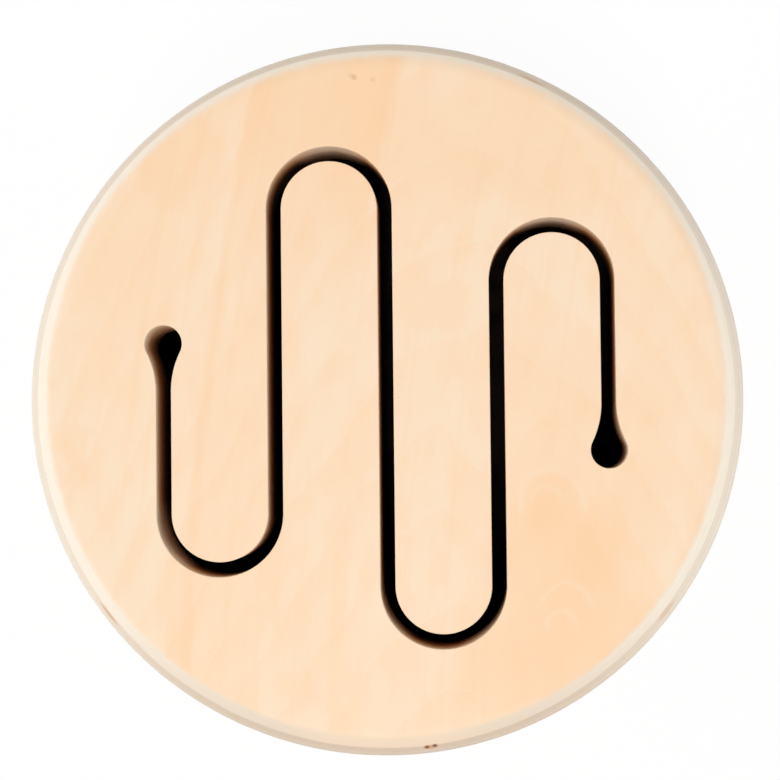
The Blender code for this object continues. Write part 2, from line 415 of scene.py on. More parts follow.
def walk_straight(shape, vert, x, y):
    """Extrude the walking vertex to another point of the plan."""
    grown = bmesh.ops.extrude_vert_indiv(shape, verts=[vert])["verts"][0]
    grown.co = (x, y, vert.co.z)
    return grown


def walk_round(shape, vert, x, y, angle, steps):
    """Spin the walking vertex about a centre."""
    swept = bmesh.ops.spin(shape, geom=[vert], cent=(x, y, vert.co.z), axis=(0, 0, 1), angle=angle,
                           steps=steps)
    return [item for item in swept["geom_last"] if isinstance(item, bmesh.types.BMVert)][0]


half_slot = SLOT_WIDTH / 2
aside = half_slot + END_FLARE_RADIUS
reach = END_HOLE_RADIUS + END_FLARE_RADIUS
lean = acos(aside / reach)
drop = sqrt(reach ** 2 - aside ** 2)

slot = bmesh.new()
walker = slot.verts.new(END_HOLE + Vector((0, END_HOLE_RADIUS, 0)))
walker = walk_round(slot, walker, END_HOLE.x, END_HOLE.y, pi / 2 + lean, HOLE_STEPS)
walker = walk_round(slot, walker, END_HOLE.x - aside, END_HOLE.y - drop, -lean, FLARE_STEPS)
for arm, turn_y, way in TURNS:
    radius = ARM_PITCH / 2 + way * half_slot
    walker = walk_straight(slot, walker, arm * ARM_PITCH - radius, turn_y)
    walker = walk_round(slot, walker, arm * ARM_PITCH, turn_y, way * pi, TURN_STEPS)
walker = walk_straight(slot, walker, -END_HOLE.x - half_slot, drop - END_HOLE.y)
walker = walk_round(slot, walker, -END_HOLE.x - aside, drop - END_HOLE.y, -lean, FLARE_STEPS)
walker = walk_round(slot, walker, -END_HOLE.x, -END_HOLE.y, pi / 2 + lean, HOLE_STEPS)
print("one side ends at", [round(c / MM, 2) for c in walker.co])

# %% Closing the outline and cutting the head
SLOT_EDGE_ROUND = 0.2 * MM
SLOT_EDGE_STEPS = 3

side = slot.verts[:] + slot.edges[:]
other = bmesh.ops.duplicate(slot, geom=side)["geom"]
other_verts = [item for item in other if isinstance(item, bmesh.types.BMVert)]
bmesh.ops.rotate(slot, verts=other_verts, cent=(0, 0, 0), matrix=Matrix.Rotation(pi, 3, "Z"))
bmesh.ops.remove_doubles(slot, verts=slot.verts, dist=0.01 * MM)
bmesh.ops.contextual_create(slot, geom=slot.edges[:])
grown = bmesh.ops.extrude_face_region(slot, geom=slot.faces[:], use_keep_orig=True)["geom"]
upper = [item for item in grown if isinstance(item, bmesh.types.BMVert)]
bmesh.ops.translate(slot, verts=upper, vec=(0, 0, HEAD_TOP - HEAD_BOTTOM + 2 * STEP))

head = cut(disc, slot)


def slot_rim(edge):
    """True for the edges between the slot's walls and the head's two flat faces."""
    level = at_height(edge, HEAD_TOP) or at_height(edge, HEAD_BOTTOM)
    inside = all(vert.co.xy.length < HEAD_RADIUS - 2 * HEAD_EDGE_ROUND for vert in edge.verts)
    return level and inside and len(edge.link_faces) == 2


eased = round_edges(head, slot_rim, SLOT_EDGE_ROUND, SLOT_EDGE_STEPS)
print("slot edges eased:", eased)

# %% [markdown]
# ## The head's finish
#
# The veneer's grain runs nearly along the drum's Y axis and bends a little. One curved length across the
# grain gives the bend, and bands and streaks follow it. The year rings come to a point twice, like
# flames, and each point is a hyperbola: its sides are straight far away and round at the crown. Noise
# alone would spread the warm wood evenly, so the warm bands and patches that make this board this one
# have their own places. So have a few rings around two of the patches, three pin knots near the top and
# the brown flaws on the rim.

# %% Where the figure of the head lies
GRAIN_LEAN = 0.128
GRAIN_BEND = 0.0006

# the axis of each point of the rings, how round its crown is, its slope and the step from ring to ring
RING_POINTS = ((21.7, 40.0, 2.2, 24.3), (44.0, 8.0, 2.0, 21.5))

# from and to across the grain, where along Y it fades in and is full, and how strong it is
WARM_BANDS = ((-47.0, -12.0, 10.0, 75.0, 0.50), (-16.5, -10.5, 60.0, 90.0, 0.40),
              (-50.0, -45.5, 50.0, 85.0, 0.55), (-54.0, -47.0, -35.0, -65.0, 0.25),
              (-50.2, -47.2, -99.0, -98.0, 0.35), (-10.0, -6.0, -30.0, -50.0, 0.20))

# place, size and strength
WARM_PATCHES = ((43.2, -30.8, 9.0, 12.0, 0.48), (55.8, -41.6, 8.0, 14.0, 0.50),
                (46.0, -62.0, 12.0, 14.0, 0.32), (28.0, -72.0, 15.0, 18.0, 0.40),
                (21.0, -26.0, 9.0, 16.0, 0.30), (68.0, -30.0, 11.0, 20.0, 0.35),
                (44.0, 4.0, 18.0, 18.0, 0.28), (66.0, -4.0, 16.0, 8.0, 0.20),
                (17.0, 23.0, 10.0, 10.0, 0.28), (24.0, 70.0, 50.0, 20.0, 0.25),
                (46.0, 56.0, 16.0, 14.0, 0.25), (-56.0, 63.0, 20.0, 16.0, 0.35),
                (-72.0, 34.0, 14.0, 16.0, 0.12), (-84.0, -16.0, 4.0, 13.0, 0.40),
                (-23.0, -79.0, 12.0, 9.0, 0.25))

# millimetres over which slow noise moves each from its place
BAND_WANDER = 4
PATCH_WANDER = 16
RING_WANDER = 8

# place and size
PALE_RINGS = ((47.4, -57.5, 7.2, 6.8), (46.6, -63.0, 4.2, 4.6),
              (43.0, -29.5, 4.0, 5.0), (44.5, -33.0, 9.0, 13.0))
RING_STRENGTH = 0.32

# place, radius and strength
PIN_KNOTS = ((-7.8, 86.7, 1.0, 0.45), (-8.7, 87.3, 1.0, 0.18), (-2.8, 86.0, 1.0, 0.20))
PIN_BROWN = (0.58, 0.33, 0.15, 1.0)


def oval(x, y, place_x, place_y, size_x, size_y):
    """0 at a place, 1 on an oval of that size around it, and more beyond."""
    along_x = (x - place_x) / size_x
    along_y = (y - place_y) / size_y
    return along_x * along_x + along_y * along_y


def near(x, y, *place_and_size):
    """1 at a place and 0 beyond its size."""
    return oval(x, y, *place_and_size).fade(1.0, 0.0)


print("warm bands:", len(WARM_BANDS), "warm patches:", len(WARM_PATCHES))

# %% Birch plywood of the head
birch_head, shader, start = new_finish("birch_plywood_head", {"IOR": BIRCH_IOR, "Specular IOR Level": 0.4})
x, y, z = millimetres(start)
across = x - y * GRAIN_LEAN - y * y * GRAIN_BEND
points = []
years = []
for axis_x, crown, slope, step in RING_POINTS:
    off_axis = x - axis_x
    points.append(y + (start.math("SQRT", off_axis * off_axis + crown * crown) - crown) * slope)
    years.append(points[-1] / step)
upper_rings, lower_rings = years
low_right = (x + y * 0.1).fade(12.0, 32.0) * y.fade(12.0, -12.0)
rings = upper_rings + (lower_rings - upper_rings) * low_right - 0.05
face, fibres = veneer(start, across, y, rings, 4.0)
face = (points[1].fade(6.0, -34.0) * low_right * 0.60).mix(face, WARM_PEACH)

drift = noise(start, x / 9, y / 14, 8.0, 3.0) - 0.5
place = across + drift * BAND_WANDER
for low_side, high_side, fades_in, full, strength in WARM_BANDS:
    band = place.fade(low_side - 1.0, low_side + 1.0) * place.fade(high_side + 1.0, high_side - 1.0)
    face = (band * y.fade(fades_in, full) * strength).mix(face, WARM_PEACH)
wander = drift * PATCH_WANDER
for *place_and_size, strength in WARM_PATCHES:
    face = (near(x + wander, y + wander, *place_and_size) * strength).mix(face, WARM_PEACH)
wander = drift * RING_WANDER
for place_x, place_y, size_x, size_y in PALE_RINGS:
    bent_y = y - wander
    from_middle = start.math("SQRT", oval(x + wander, bent_y, place_x, place_y, size_x, size_y))
    line = (abs(from_middle - 1.0) * size_x).fade(1.3, 0.1)
    upper_half = (bent_y - place_y).fade(-0.3 * size_y, 0.4 * size_y)
    face = (line * upper_half * RING_STRENGTH).mix(face, PALE_PEACH)
for place_x, place_y, radius, strength in PIN_KNOTS:
    face = (near(x, y, place_x, place_y, radius, radius) * strength).mix(face, PIN_BROWN)
colour = plies(start, x, y, z, HEAD_BOTTOM, HEAD_TOP, face)
print("nodes of the head's face:", len(birch_head.node_tree.nodes))

# %% [markdown]
# ## The slot's walls
#
# The slot's walls start peach at the eased edge and get darker and browner on the way down, until the
# plies hardly show. This is painted shade, a ramp by depth, because light alone would leave them too pale.
# The crowns of the upper bends, the sides of the lower ones and the end holes get painted light, and the
# bends beside the crowns get more painted shade. The rim was sanded and has only a few flaws.

# %% Painted shade on the slot walls
BOARD_DEPTH = (HEAD_TOP - HEAD_BOTTOM) / MM
WALL_SHADE_STOPS = ((0.0, (0.92, 0.73, 0.54, 1.0)), (3.0, (0.78, 0.49, 0.275, 1.0)),
              (6.0, (0.61, 0.32, 0.145, 1.0)), (10.0, (0.42, 0.19, 0.070, 1.0)),
              (14.0, (0.19, 0.07, 0.02, 1.0)), (18.0, (0.04, 0.014, 0.004, 1.0)))
# how much painted light slows the darkening, how much painted shade speeds it, and how far lit plies show
PAINTED_LIGHT_WEIGHT = 0.78
PAINTED_SHADE_WEIGHT = 0.40
LIT_PLIES_SHOW = 0.5

# millimetres past an upper turn's centre, or aside of it, where each is nothing and where it is full
CROWN = (13.8, 17.3)
SIDE_BEGINS = (0.0, 6.0)
SIDE_ENDS = (16.0, 12.5)
BEND_ASIDE = (20.0, 17.0)

# place, size and strength of the painted light, the end holes first, then the sides of the bends; and
# of the painted shade
PAINTED_LIGHT_SPOTS = ((END_HOLE.x / MM, END_HOLE.y / MM + 5.0, 14.0, 14.0, 0.25),
               (-END_HOLE.x / MM + 3.0, -END_HOLE.y / MM, 10.0, 14.0, 0.6),
               (-61.0, -39.5, 10.0, 13.0, 0.95), (28.0, -62.0, 11.0, 12.0, 0.95),
               (0.0, -58.5, 9.0, 12.0, 0.7))
PAINTED_SHADE_SPOTS = ((-25.0, 65.0, 10.0, 11.0, 0.6),)

depth_from_top = HEAD_TOP / MM - z
from_axis = start.math("SQRT", x * x + y * y)
in_slot = from_axis.fade(89.0, 87.0) * depth_from_top.fade(0.02, 0.3)
painted_light = painted_shade = 0.0
for *place_and_size, strength in PAINTED_LIGHT_SPOTS:
    painted_light = near(x, y, *place_and_size) * strength + painted_light
for *place_and_size, strength in PAINTED_SHADE_SPOTS:
    painted_shade = near(x, y, *place_and_size) * strength + painted_shade
# painted light on the crowns of the upper bends, and painted shade on the bends beside them
for arm, turn_y, way in TURNS:
    if way < 0:
        beyond = y - turn_y / MM
        bend = abs(x - arm * ARM_PITCH / MM).fade(*BEND_ASIDE)
        painted_light = beyond.fade(*CROWN) * bend + painted_light
        painted_shade = beyond.fade(*SIDE_BEGINS) * beyond.fade(*SIDE_ENDS) * bend + painted_shade
pace = 1 - painted_light * PAINTED_LIGHT_WEIGHT + painted_shade * PAINTED_SHADE_WEIGHT
# painted shade: the ramp darkens a wall with depth, slower under painted light, faster under painted shade
shade_depth = depth_from_top * pace + (noise(start, x / 2, y / 2, z / 9) - 0.5) * 1.5
stops = [(below / BOARD_DEPTH, shade) for below, shade in WALL_SHADE_STOPS]
wall = start.node("ShaderNodeValToRGB", {"stops": stops}, {0: shade_depth / BOARD_DEPTH})
# where painted light reaches deep, the plies show through the painted shade
lit_plies = painted_light * depth_from_top.fade(16.0, 12.0) * LIT_PLIES_SHOW
wall_shade_share = (depth_from_top.fade(3.0, 8.0) * 0.15 + 0.85) * (1 - lit_plies)
colour = (in_slot * wall_shade_share).mix(colour, wall)
print("slot walls:", len(WALL_SHADE_STOPS), "shades over", round(BOARD_DEPTH, 1), "mm")

# %% Flaws on the rim
KNOT_BROWN = (0.16, 0.055, 0.025, 1.0)
STREAK_BROWN = (0.66, 0.30, 0.12, 1.0)

# angle round the drum, depth below the face, half length, half height, strength and colour
RIM_FLAWS = ((-83.4, 2.25, 2.6, 0.8, 0.75, STREAK_BROWN), (-84.0, 2.15, 0.9, 0.6, 0.95, KNOT_BROWN),
             (-82.7, 2.0, 0.9, 0.55, 0.95, KNOT_BROWN), (64.8, 2.15, 5.0, 0.5, 0.50, STREAK_BROWN),
             (-142.6, 2.25, 5.0, 0.5, 0.65, STREAK_BROWN), (-38.2, 2.4, 5.0, 0.9, 0.30, STREAK_BROWN))

for angle, flaw_depth, length, height, strength, brown in RIM_FLAWS:
    out = x * cos(radians(angle)) + y * sin(radians(angle))
    beside = y * cos(radians(angle)) - x * sin(radians(angle))
    flaw = near(beside, depth_from_top, 0.0, flaw_depth, length, height) * out.fade(80.0, 85.0)
    colour = (flaw * strength).mix(colour, brown)
rough = noise(start, x / 6, y / 20, z / 6)
start.plug(shader, {"Base Color": colour, "Roughness": rough * 0.16 + 0.44})
bump(start, shader, fibres, FIBRE_RELIEF)
piece("head_board", mesh_of("head_board", head), birch_head, "head")

# %% [markdown]
# ## The shell
#
# The shell is one strip of thin birch bent into a ring. Its two ends are cut on a slant and lap in a
# scarf joint, so a hairline runs up the back. A closed tube would leave that out. Here the section is one
# slanted face, spun nearly all the way round: the slant gives the lap, and the little that is missing
# gives the glue line. The grain runs round the strip, and its inside is painted near black as shade.

# %% A bent strip
low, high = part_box("shell")
SHELL_BOTTOM = low.z
SHELL_TOP = high.z
SCARF_LENGTH = 30.0 * MM
SCARF_GAP = 0.15 * MM
SHELL_SIDES = 240

shell = bmesh.new()
half_lap = SCARF_LENGTH / 2 / (HEAD_RADIUS - SHELL_WALL / 2)
outer = Vector((cos(pi / 2 + half_lap), sin(pi / 2 + half_lap), 0)) * HEAD_RADIUS
inner = Vector((cos(pi / 2 - half_lap), sin(pi / 2 - half_lap), 0)) * (HEAD_RADIUS - SHELL_WALL)
corners = [outer + Vector((0, 0, SHELL_BOTTOM)), outer + Vector((0, 0, SHELL_TOP)),
           inner + Vector((0, 0, SHELL_TOP)), inner + Vector((0, 0, SHELL_BOTTOM))]
section = shell.faces.new([shell.verts.new(corner) for corner in corners])
bmesh.ops.spin(shell, geom=[section] + section.edges[:] + section.verts[:], cent=(0, 0, 0), axis=(0, 0, 1),
               angle=tau - SCARF_GAP / HEAD_RADIUS, steps=SHELL_SIDES)
print("shell strip:", len(shell.faces), "faces, gap", SCARF_GAP)

# %% Birch of the shell
# the inside of the drum is painted near black as shade
INSIDE_SHADE_DARK = (0.006, 0.0035, 0.002, 1.0)
INSIDE_SHADE_PALE = (0.016, 0.009, 0.005, 1.0)


def painted_inside_shade(start, x, y, z):
    """Painted shade on the inside of the drum: a near black that keeps the slot black."""
    return noise(start, x / 8, y / 8, z / 2, 4.0).fade(0.3, 0.7).mix(INSIDE_SHADE_DARK, INSIDE_SHADE_PALE)


birch_shell, shader, start = new_finish("birch_shell", {"IOR": BIRCH_IOR, "Specular IOR Level": 0.4})
x, y, z = millimetres(start)
angle = start.math("ARCTAN2", x, y * -1.0)
round_shell = angle * (HEAD_RADIUS / MM)
across = z + noise(start, x / 60, y / 60, 3.0) * 14
colour, fibres = veneer(start, across, round_shell, across / 24, 21.0)
# the inside of the shell gets the painted shade
inside = start.math("SQRT", x * x + y * y).fade(HEAD_RADIUS / MM - 0.5, HEAD_RADIUS / MM - 0.7)
colour = inside.mix(colour, painted_inside_shade(start, x, y, z))
rough = noise(start, x / 6, y / 6, z / 3)
start.plug(shader, {"Base Color": colour, "Roughness": rough * 0.16 + 0.46})
bump(start, shader, fibres, FIBRE_RELIEF)
piece("shell_strip", mesh_of("shell_strip", shell), birch_shell, "shell")

# %% [markdown]
# ## The base
#
# The base is a thinner board with a small round-over, made by the same function as the head. Six
# countersunk holes are cut at the places of the packed screws, so that screws and holes can't part.

# %% The base board
low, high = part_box("base")
BASE_BOTTOM = low.z
BASE_TOP = high.z
BASE_EDGE_ROUND = 4.0 * MM
BASE_EDGE_STEPS = 12
BASE_SCREWS = [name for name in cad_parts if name.startswith("base_screw_")]
SCREW_HEAD_RADIUS = 3.5 * MM
SCREW_SHANK_RADIUS = 1.75 * MM
SINK_DEPTH = SCREW_HEAD_RADIUS - SCREW_SHANK_RADIUS
HOLE_LENGTH = 30.0 * MM
HOLE_SIDES = 48
OVERCUT = 2.0 * MM
OVERLAP = 0.05 * MM


def middle_of(node):
    """The plan centre of a solid."""
    low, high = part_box(node)
    return (low.x + high.x) / 2, (low.y + high.y) / 2


base = stepped_disc(BASE_BOTTOM, BASE_TOP - STEP, BASE_TOP)
round_edges(base, lambda edge: at_height(edge, BASE_BOTTOM), BASE_EDGE_ROUND, BASE_EDGE_STEPS)
holes = bmesh.new()
for name in BASE_SCREWS:
    screw_x, screw_y = middle_of(name)
    face_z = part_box(name)[0].z
    sink_z = face_z + (SINK_DEPTH - OVERCUT) / 2
    hole_z = face_z + SINK_DEPTH + HOLE_LENGTH / 2 - OVERLAP
    bmesh.ops.create_cone(holes, cap_ends=True, segments=HOLE_SIDES,
                          radius1=SCREW_HEAD_RADIUS + FIT + OVERCUT, radius2=SCREW_SHANK_RADIUS + FIT,
                          depth=SINK_DEPTH + OVERCUT, matrix=Matrix.Translation((screw_x, screw_y, sink_z)))
    bmesh.ops.create_cone(holes, cap_ends=True, segments=HOLE_SIDES,
                          radius1=SCREW_SHANK_RADIUS + FIT, radius2=SCREW_SHANK_RADIUS + FIT,
                          depth=HOLE_LENGTH, matrix=Matrix.Translation((screw_x, screw_y, hole_z)))
base = cut(base, holes)
print("base:", len(BASE_SCREWS), "countersinks,", len(base.faces), "faces")

# %% Birch plywood of the base
birch_base, shader, start = new_finish("birch_plywood_base", {"IOR": BIRCH_IOR, "Specular IOR Level": 0.15})
x, y, z = millimetres(start)
across = x + y * 0.06 + y * y * 0.0004
face, fibres = veneer(start, across, y, across / 30, 40.0)
colour = plies(start, x, y, z, BASE_BOTTOM, BASE_TOP, face)
rough = noise(start, x / 6, y / 20, z / 6)
# the base's inner face gets the painted shade
inside = z.fade(BASE_TOP / MM - 2.6, BASE_TOP / MM - 2.4)
colour = inside.mix(colour, painted_inside_shade(start, x, y, z))
start.plug(shader, {"Base Color": colour, "Roughness": rough * 0.16 + 0.5 + inside * 0.3})
bump(start, shader, fibres, 1.5 * FIBRE_RELIEF)
piece("base_board", mesh_of("base_board", base), birch_base, "base")

# %% [markdown]
# ## Lining hoops
#
# The two beech rings inside the shell give the head and the base their seats. They are plain already, so
# their solids stay and only get a finish. Beech is browner than birch and full of short dark flecks,
# which are noise squeezed flat.

# %% Beech
BEECH = (0.70, 0.46, 0.28, 1.0)
BEECH_DARK = (0.50, 0.29, 0.16, 1.0)

beech, shader, start = new_finish("beech", {"IOR": 1.45})
x, y, z = millimetres(start)
flecks = noise(start, x / 3, y / 3, z / 0.35)
bands = noise(start, x / 40, y / 40, z / 3)
colour = (flecks.fade(0.55, 0.70) * 0.6).mix(BEECH, BEECH_DARK)
colour = (bands.fade(0.45, 0.75) * 0.4).mix(colour, BEECH_DARK)
start.plug(shader, {"Base Color": colour, "Roughness": flecks * 0.2 + 0.5})
bump(start, shader, flecks, 0.03 * MM)
for name in ("upper_hoop", "lower_hoop"):
    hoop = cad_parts[name].data
    hoop.materials.clear()
    hoop.materials.append(beech)
print("beech on both hoops")

# %% [markdown]
# ## Rubber feet
#
# A foot is a tapered puck with a recess below for its screw. It could be spun from a section, but one
# circle makes it in a few pulls that read like the steps of a mould: pulled down with a taper, inset for
# the rim, pulled up for the recess, inset again and opened for the screw.

# %% Feet
FEET = sorted(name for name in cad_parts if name.startswith("foot_") and name[5:].isdigit())
low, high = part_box(FEET[0])
FOOT_TOP_RADIUS = (high.x - low.x) / 2
FOOT_TOP = high.z
FOOT_BOTTOM = low.z
FOOT_TAPER = 8.25 / 10.0
RECESS_RADIUS = 5.0 * MM
WEB = 2.5 * MM
FOOT_SIDES = 64
FOOT_BOTTOM_ROUND = 1.2 * MM
FOOT_TOP_ROUND = 0.4 * MM
RUBBER_BLACK = (0.018, 0.018, 0.019, 1.0)
RUBBER_GREY = (0.04, 0.039, 0.038, 1.0)

rubber, shader, start = new_finish("rubber", {"IOR": 1.5, "Specular IOR Level": 0.35})
x, y, z = millimetres(start)
mottle = noise(start, x / 2, y / 2, z / 2, 4.0)
grain = noise(start, x / 0.15, y / 0.15, z / 0.15)
colour = mottle.fade(0.3, 0.8).mix(RUBBER_BLACK, RUBBER_GREY)
start.plug(shader, {"Base Color": colour, "Roughness": mottle * 0.25 + 0.55})
bump(start, shader, grain, 0.04 * MM)
print("feet:", FEET)

# %% Shaping the feet


def ring_of(z, radius):
    """A test for the edges of one ring of a turned piece at the origin."""
    def chosen(edge):
        rings = [abs(vert.co.xy.length - radius) < 0.02 * MM for vert in edge.verts]
        return at_height(edge, z) and all(rings)
    return chosen


def foot_shape():
    """One foot, standing at the origin."""
    shape = bmesh.new()
    bmesh.ops.create_circle(shape, cap_ends=True, segments=FOOT_SIDES, radius=FOOT_TOP_RADIUS,
                            matrix=Matrix.Translation((0, 0, FOOT_TOP)))
    top = shape.faces[:][0]
    grown = bmesh.ops.extrude_face_region(shape, geom=[top], use_keep_orig=True)["geom"]
    under = [item for item in grown if isinstance(item, bmesh.types.BMFace)][0]
    bmesh.ops.scale(shape, verts=under.verts, vec=(FOOT_TAPER, FOOT_TAPER, 1))
    bmesh.ops.translate(shape, verts=under.verts, vec=(0, 0, FOOT_BOTTOM - FOOT_TOP))
    bottom_radius = FOOT_TOP_RADIUS * FOOT_TAPER
    bmesh.ops.inset_region(shape, faces=[under], thickness=bottom_radius - RECESS_RADIUS,
                           use_even_offset=True)
    roof = pull(shape, under, FOOT_TOP - WEB)
    hole = SCREW_SHANK_RADIUS + FIT
    bmesh.ops.inset_region(shape, faces=[roof], thickness=RECESS_RADIUS - hole, use_even_offset=True)
    bmesh.ops.inset_region(shape, faces=[top], thickness=FOOT_TOP_RADIUS - hole, use_even_offset=True)
    rims = roof.edges[:] + top.edges[:]
    bmesh.ops.delete(shape, geom=[roof, top], context="FACES_ONLY")
    bmesh.ops.bridge_loops(shape, edges=rims)
    bmesh.ops.recalc_face_normals(shape, faces=shape.faces)
    round_edges(shape, ring_of(FOOT_BOTTOM, bottom_radius), FOOT_BOTTOM_ROUND, 6)
    round_edges(shape, ring_of(FOOT_TOP, FOOT_TOP_RADIUS), FOOT_TOP_ROUND, 3)
    return shape


for number, node in enumerate(FEET, 1):
    shape = foot_shape()
    bmesh.ops.translate(shape, verts=shape.verts, vec=(*middle_of(node), 0))
    piece(f"rubber_foot_{number}", mesh_of("rubber_foot", shape), rubber, node)

# %% [markdown]
# ## Washers and screws
#
# The metal is bright zinc plate on steel: a bluish grey with slight clouds and fine scratches. The
# washers and the screws are turned parts, so each is a section spun about its axis. Two bars cut the
# cross for the driver. The thread is a small three-cornered face, spun up the core like the real thread's
# ridge.

# %% Zinc plate
ZINC_LIGHT = (0.74, 0.76, 0.78, 1.0)
ZINC_DARK = (0.52, 0.53, 0.54, 1.0)

zinc, shader, start = new_finish("zinc_plate", {"Metallic": 1.0})
x, y, z = millimetres(start)
clouds = noise(start, x / 1.6, y / 1.6, z / 1.6, 3.0)
scratches = noise(start, x / 0.08, y / 1.4, z / 0.5)
colour = clouds.fade(0.35, 0.75).mix(ZINC_LIGHT, ZINC_DARK)
start.plug(shader, {"Base Color": colour, "Roughness": clouds * 0.25 + scratches * 0.12 + 0.15})
bump(start, shader, scratches, 0.004 * MM)
print("zinc from", ZINC_DARK[:3], "to", ZINC_LIGHT[:3])

# %% Turned metal
SCREW_SIDES = 40
CROSS_LENGTH = 4.0 * MM
CROSS_WIDTH = 0.9 * MM
CROSS_DEPTH = 1.2 * MM
CROSS_TAPER = (0.35, 0.8, 1)


def spun(corners, closed):
    """Spin a section of (radius, height) corners about the Z axis."""
    shape = bmesh.new()
    verts = [shape.verts.new((r, 0, z)) for r, z in corners]
    edges = [shape.edges.new(pair) for pair in zip(verts, verts[1:])]
    if closed:
        edges.append(shape.edges.new((verts[-1], verts[0])))
    bmesh.ops.spin(shape, geom=verts + edges, cent=(0, 0, 0), axis=(0, 0, 1), angle=tau, steps=SCREW_SIDES,
                   use_merge=True)
    bmesh.ops.holes_fill(shape, edges=shape.edges, sides=SCREW_SIDES)
    bmesh.ops.recalc_face_normals(shape, faces=shape.faces)
    return shape


def cross_bar(z, turn):
    """A bar with sloping ends that cuts one slot of a driver's cross into a head's face at that height."""
    shape = bmesh.new()
    bar = bmesh.ops.create_cube(shape, size=1)["verts"]
    bmesh.ops.scale(shape, verts=bar, vec=(CROSS_LENGTH, CROSS_WIDTH, 2 * CROSS_DEPTH))
    upper = [vert for vert in bar if vert.co.z > 0]
    bmesh.ops.scale(shape, verts=upper, vec=CROSS_TAPER)
    bmesh.ops.rotate(shape, verts=bar, cent=(0, 0, 0), matrix=Matrix.Rotation(turn, 3, "Z"))
    bmesh.ops.translate(shape, verts=bar, vec=(0, 0, z))
    return shape


print("cross recess:", CROSS_LENGTH, "by", CROSS_WIDTH)

# %% Washers
WASHER_EDGE_ROUND = 0.15 * MM

for number in range(1, len(FEET) + 1):
    node = f"foot_washer_{number}"
    low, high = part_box(node)
    outer = (high.x - low.x) / 2
    inner = SCREW_SHANK_RADIUS + FIT
    shape = spun([(inner, high.z), (outer, high.z), (outer, low.z), (inner, low.z)], True)
    round_edges(shape, ring_of(low.z, outer), WASHER_EDGE_ROUND, 2)
    bmesh.ops.translate(shape, verts=shape.verts, vec=(*middle_of(node), 0))
    piece(f"washer_{number}", mesh_of("washer", shape), zinc, node)

# %% Screws
PAN_HEAD_HEIGHT = 2.2 * MM
FLAT_HEAD_LIP = 0.2 * MM
CORE_RADIUS = 1.3 * MM
THREAD_PITCH = 1.0 * MM
THREAD_STEPS = 24
BARE_TIP = 3 * THREAD_PITCH
PAN_TURN = 0.7
FLAT_TURN = 0.9


def shank(seat, tip):
    """The last corners of a screw's section: its core and its point, between two heights."""
    return [(CORE_RADIUS, seat), (CORE_RADIUS, tip - 2 * CORE_RADIUS), (CORE_RADIUS / 4, tip)]


def pan_head(low, high):
    """Section of a pan head screw between two heights."""
    seat = low + PAN_HEAD_HEIGHT
    crown = PAN_HEAD_HEIGHT / 2
    return [(SCREW_HEAD_RADIUS - crown, low), (SCREW_HEAD_RADIUS - crown * 0.55, low + crown * 0.11),
            (SCREW_HEAD_RADIUS - crown * 0.2, low + crown * 0.4), (SCREW_HEAD_RADIUS, low + crown),
            (SCREW_HEAD_RADIUS, seat)] + shank(seat, high)


def flat_head(low, high):
    """Section of a countersunk screw between two heights."""
    cone = SCREW_HEAD_RADIUS - CORE_RADIUS
    return [(SCREW_HEAD_RADIUS, low), (SCREW_HEAD_RADIUS, low + FLAT_HEAD_LIP)] + shank(low + cone, high)


def wind_thread(shape, low, high):
    """Spin a small ridge up the core from one height to another, its root sunk a little into the core."""
    turns = int((high - low) / THREAD_PITCH)
    root = CORE_RADIUS * 0.97
    crest = low + THREAD_PITCH * 0.45
    corners = ((root, low), (SCREW_SHANK_RADIUS, crest), (root, low + THREAD_PITCH * 0.9))
    ridge = shape.faces.new([shape.verts.new((r, 0, z)) for r, z in corners])
    bmesh.ops.spin(shape, geom=[ridge] + ridge.edges[:] + ridge.verts[:], cent=(0, 0, 0), axis=(0, 0, 1),
                   angle=tau * turns, steps=turns * THREAD_STEPS, dvec=(0, 0, THREAD_PITCH / THREAD_STEPS))


def screw(node, name, section, turn):
    """One screw in the place of its solid, with its cross turned as it happened to stop."""
    low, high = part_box(node)
    shape = spun(section(low.z, high.z), False)
    for across in (turn, turn + pi / 2):
        shape = cut(shape, cross_bar(low.z, across))
    wind_thread(shape, low.z + PAN_HEAD_HEIGHT, high.z - BARE_TIP)
    bmesh.ops.translate(shape, verts=shape.verts, vec=(*middle_of(node), 0))
    piece(name, mesh_of(name, shape), zinc, node)


for number in range(1, len(FEET) + 1):
    screw(f"foot_screw_{number}", f"pan_screw_{number}", pan_head, PAN_TURN * number)
for number in range(1, len(BASE_SCREWS) + 1):
    screw(f"base_screw_{number}", f"flat_screw_{number}", flat_head, FLAT_TURN * number)

# %% [markdown]
# ## Camera
#
# The photograph looks straight down from about 40 cm above the head. The eye isn't over the middle: the
# slot's walls show on the left and at the top of each bend, which puts it a little right and below.
# Aiming the camera at the middle would make the far side smaller, so it keeps looking down, and the lens
# is shifted by about a tenth of the frame to bring the drum back to the middle of the picture.

# %% A camera above the drum
EYE = Vector((26.2 * MM, -17.7 * MM, HEAD_TOP + 417.3 * MM))
EYE_TILT = radians(-1.558)
EYE_ROLL = radians(0.686)
FRAME_PIXELS = 780
FOCAL_PIXELS = 1550
CENTRE_PIXEL = (483.6, 419.1)

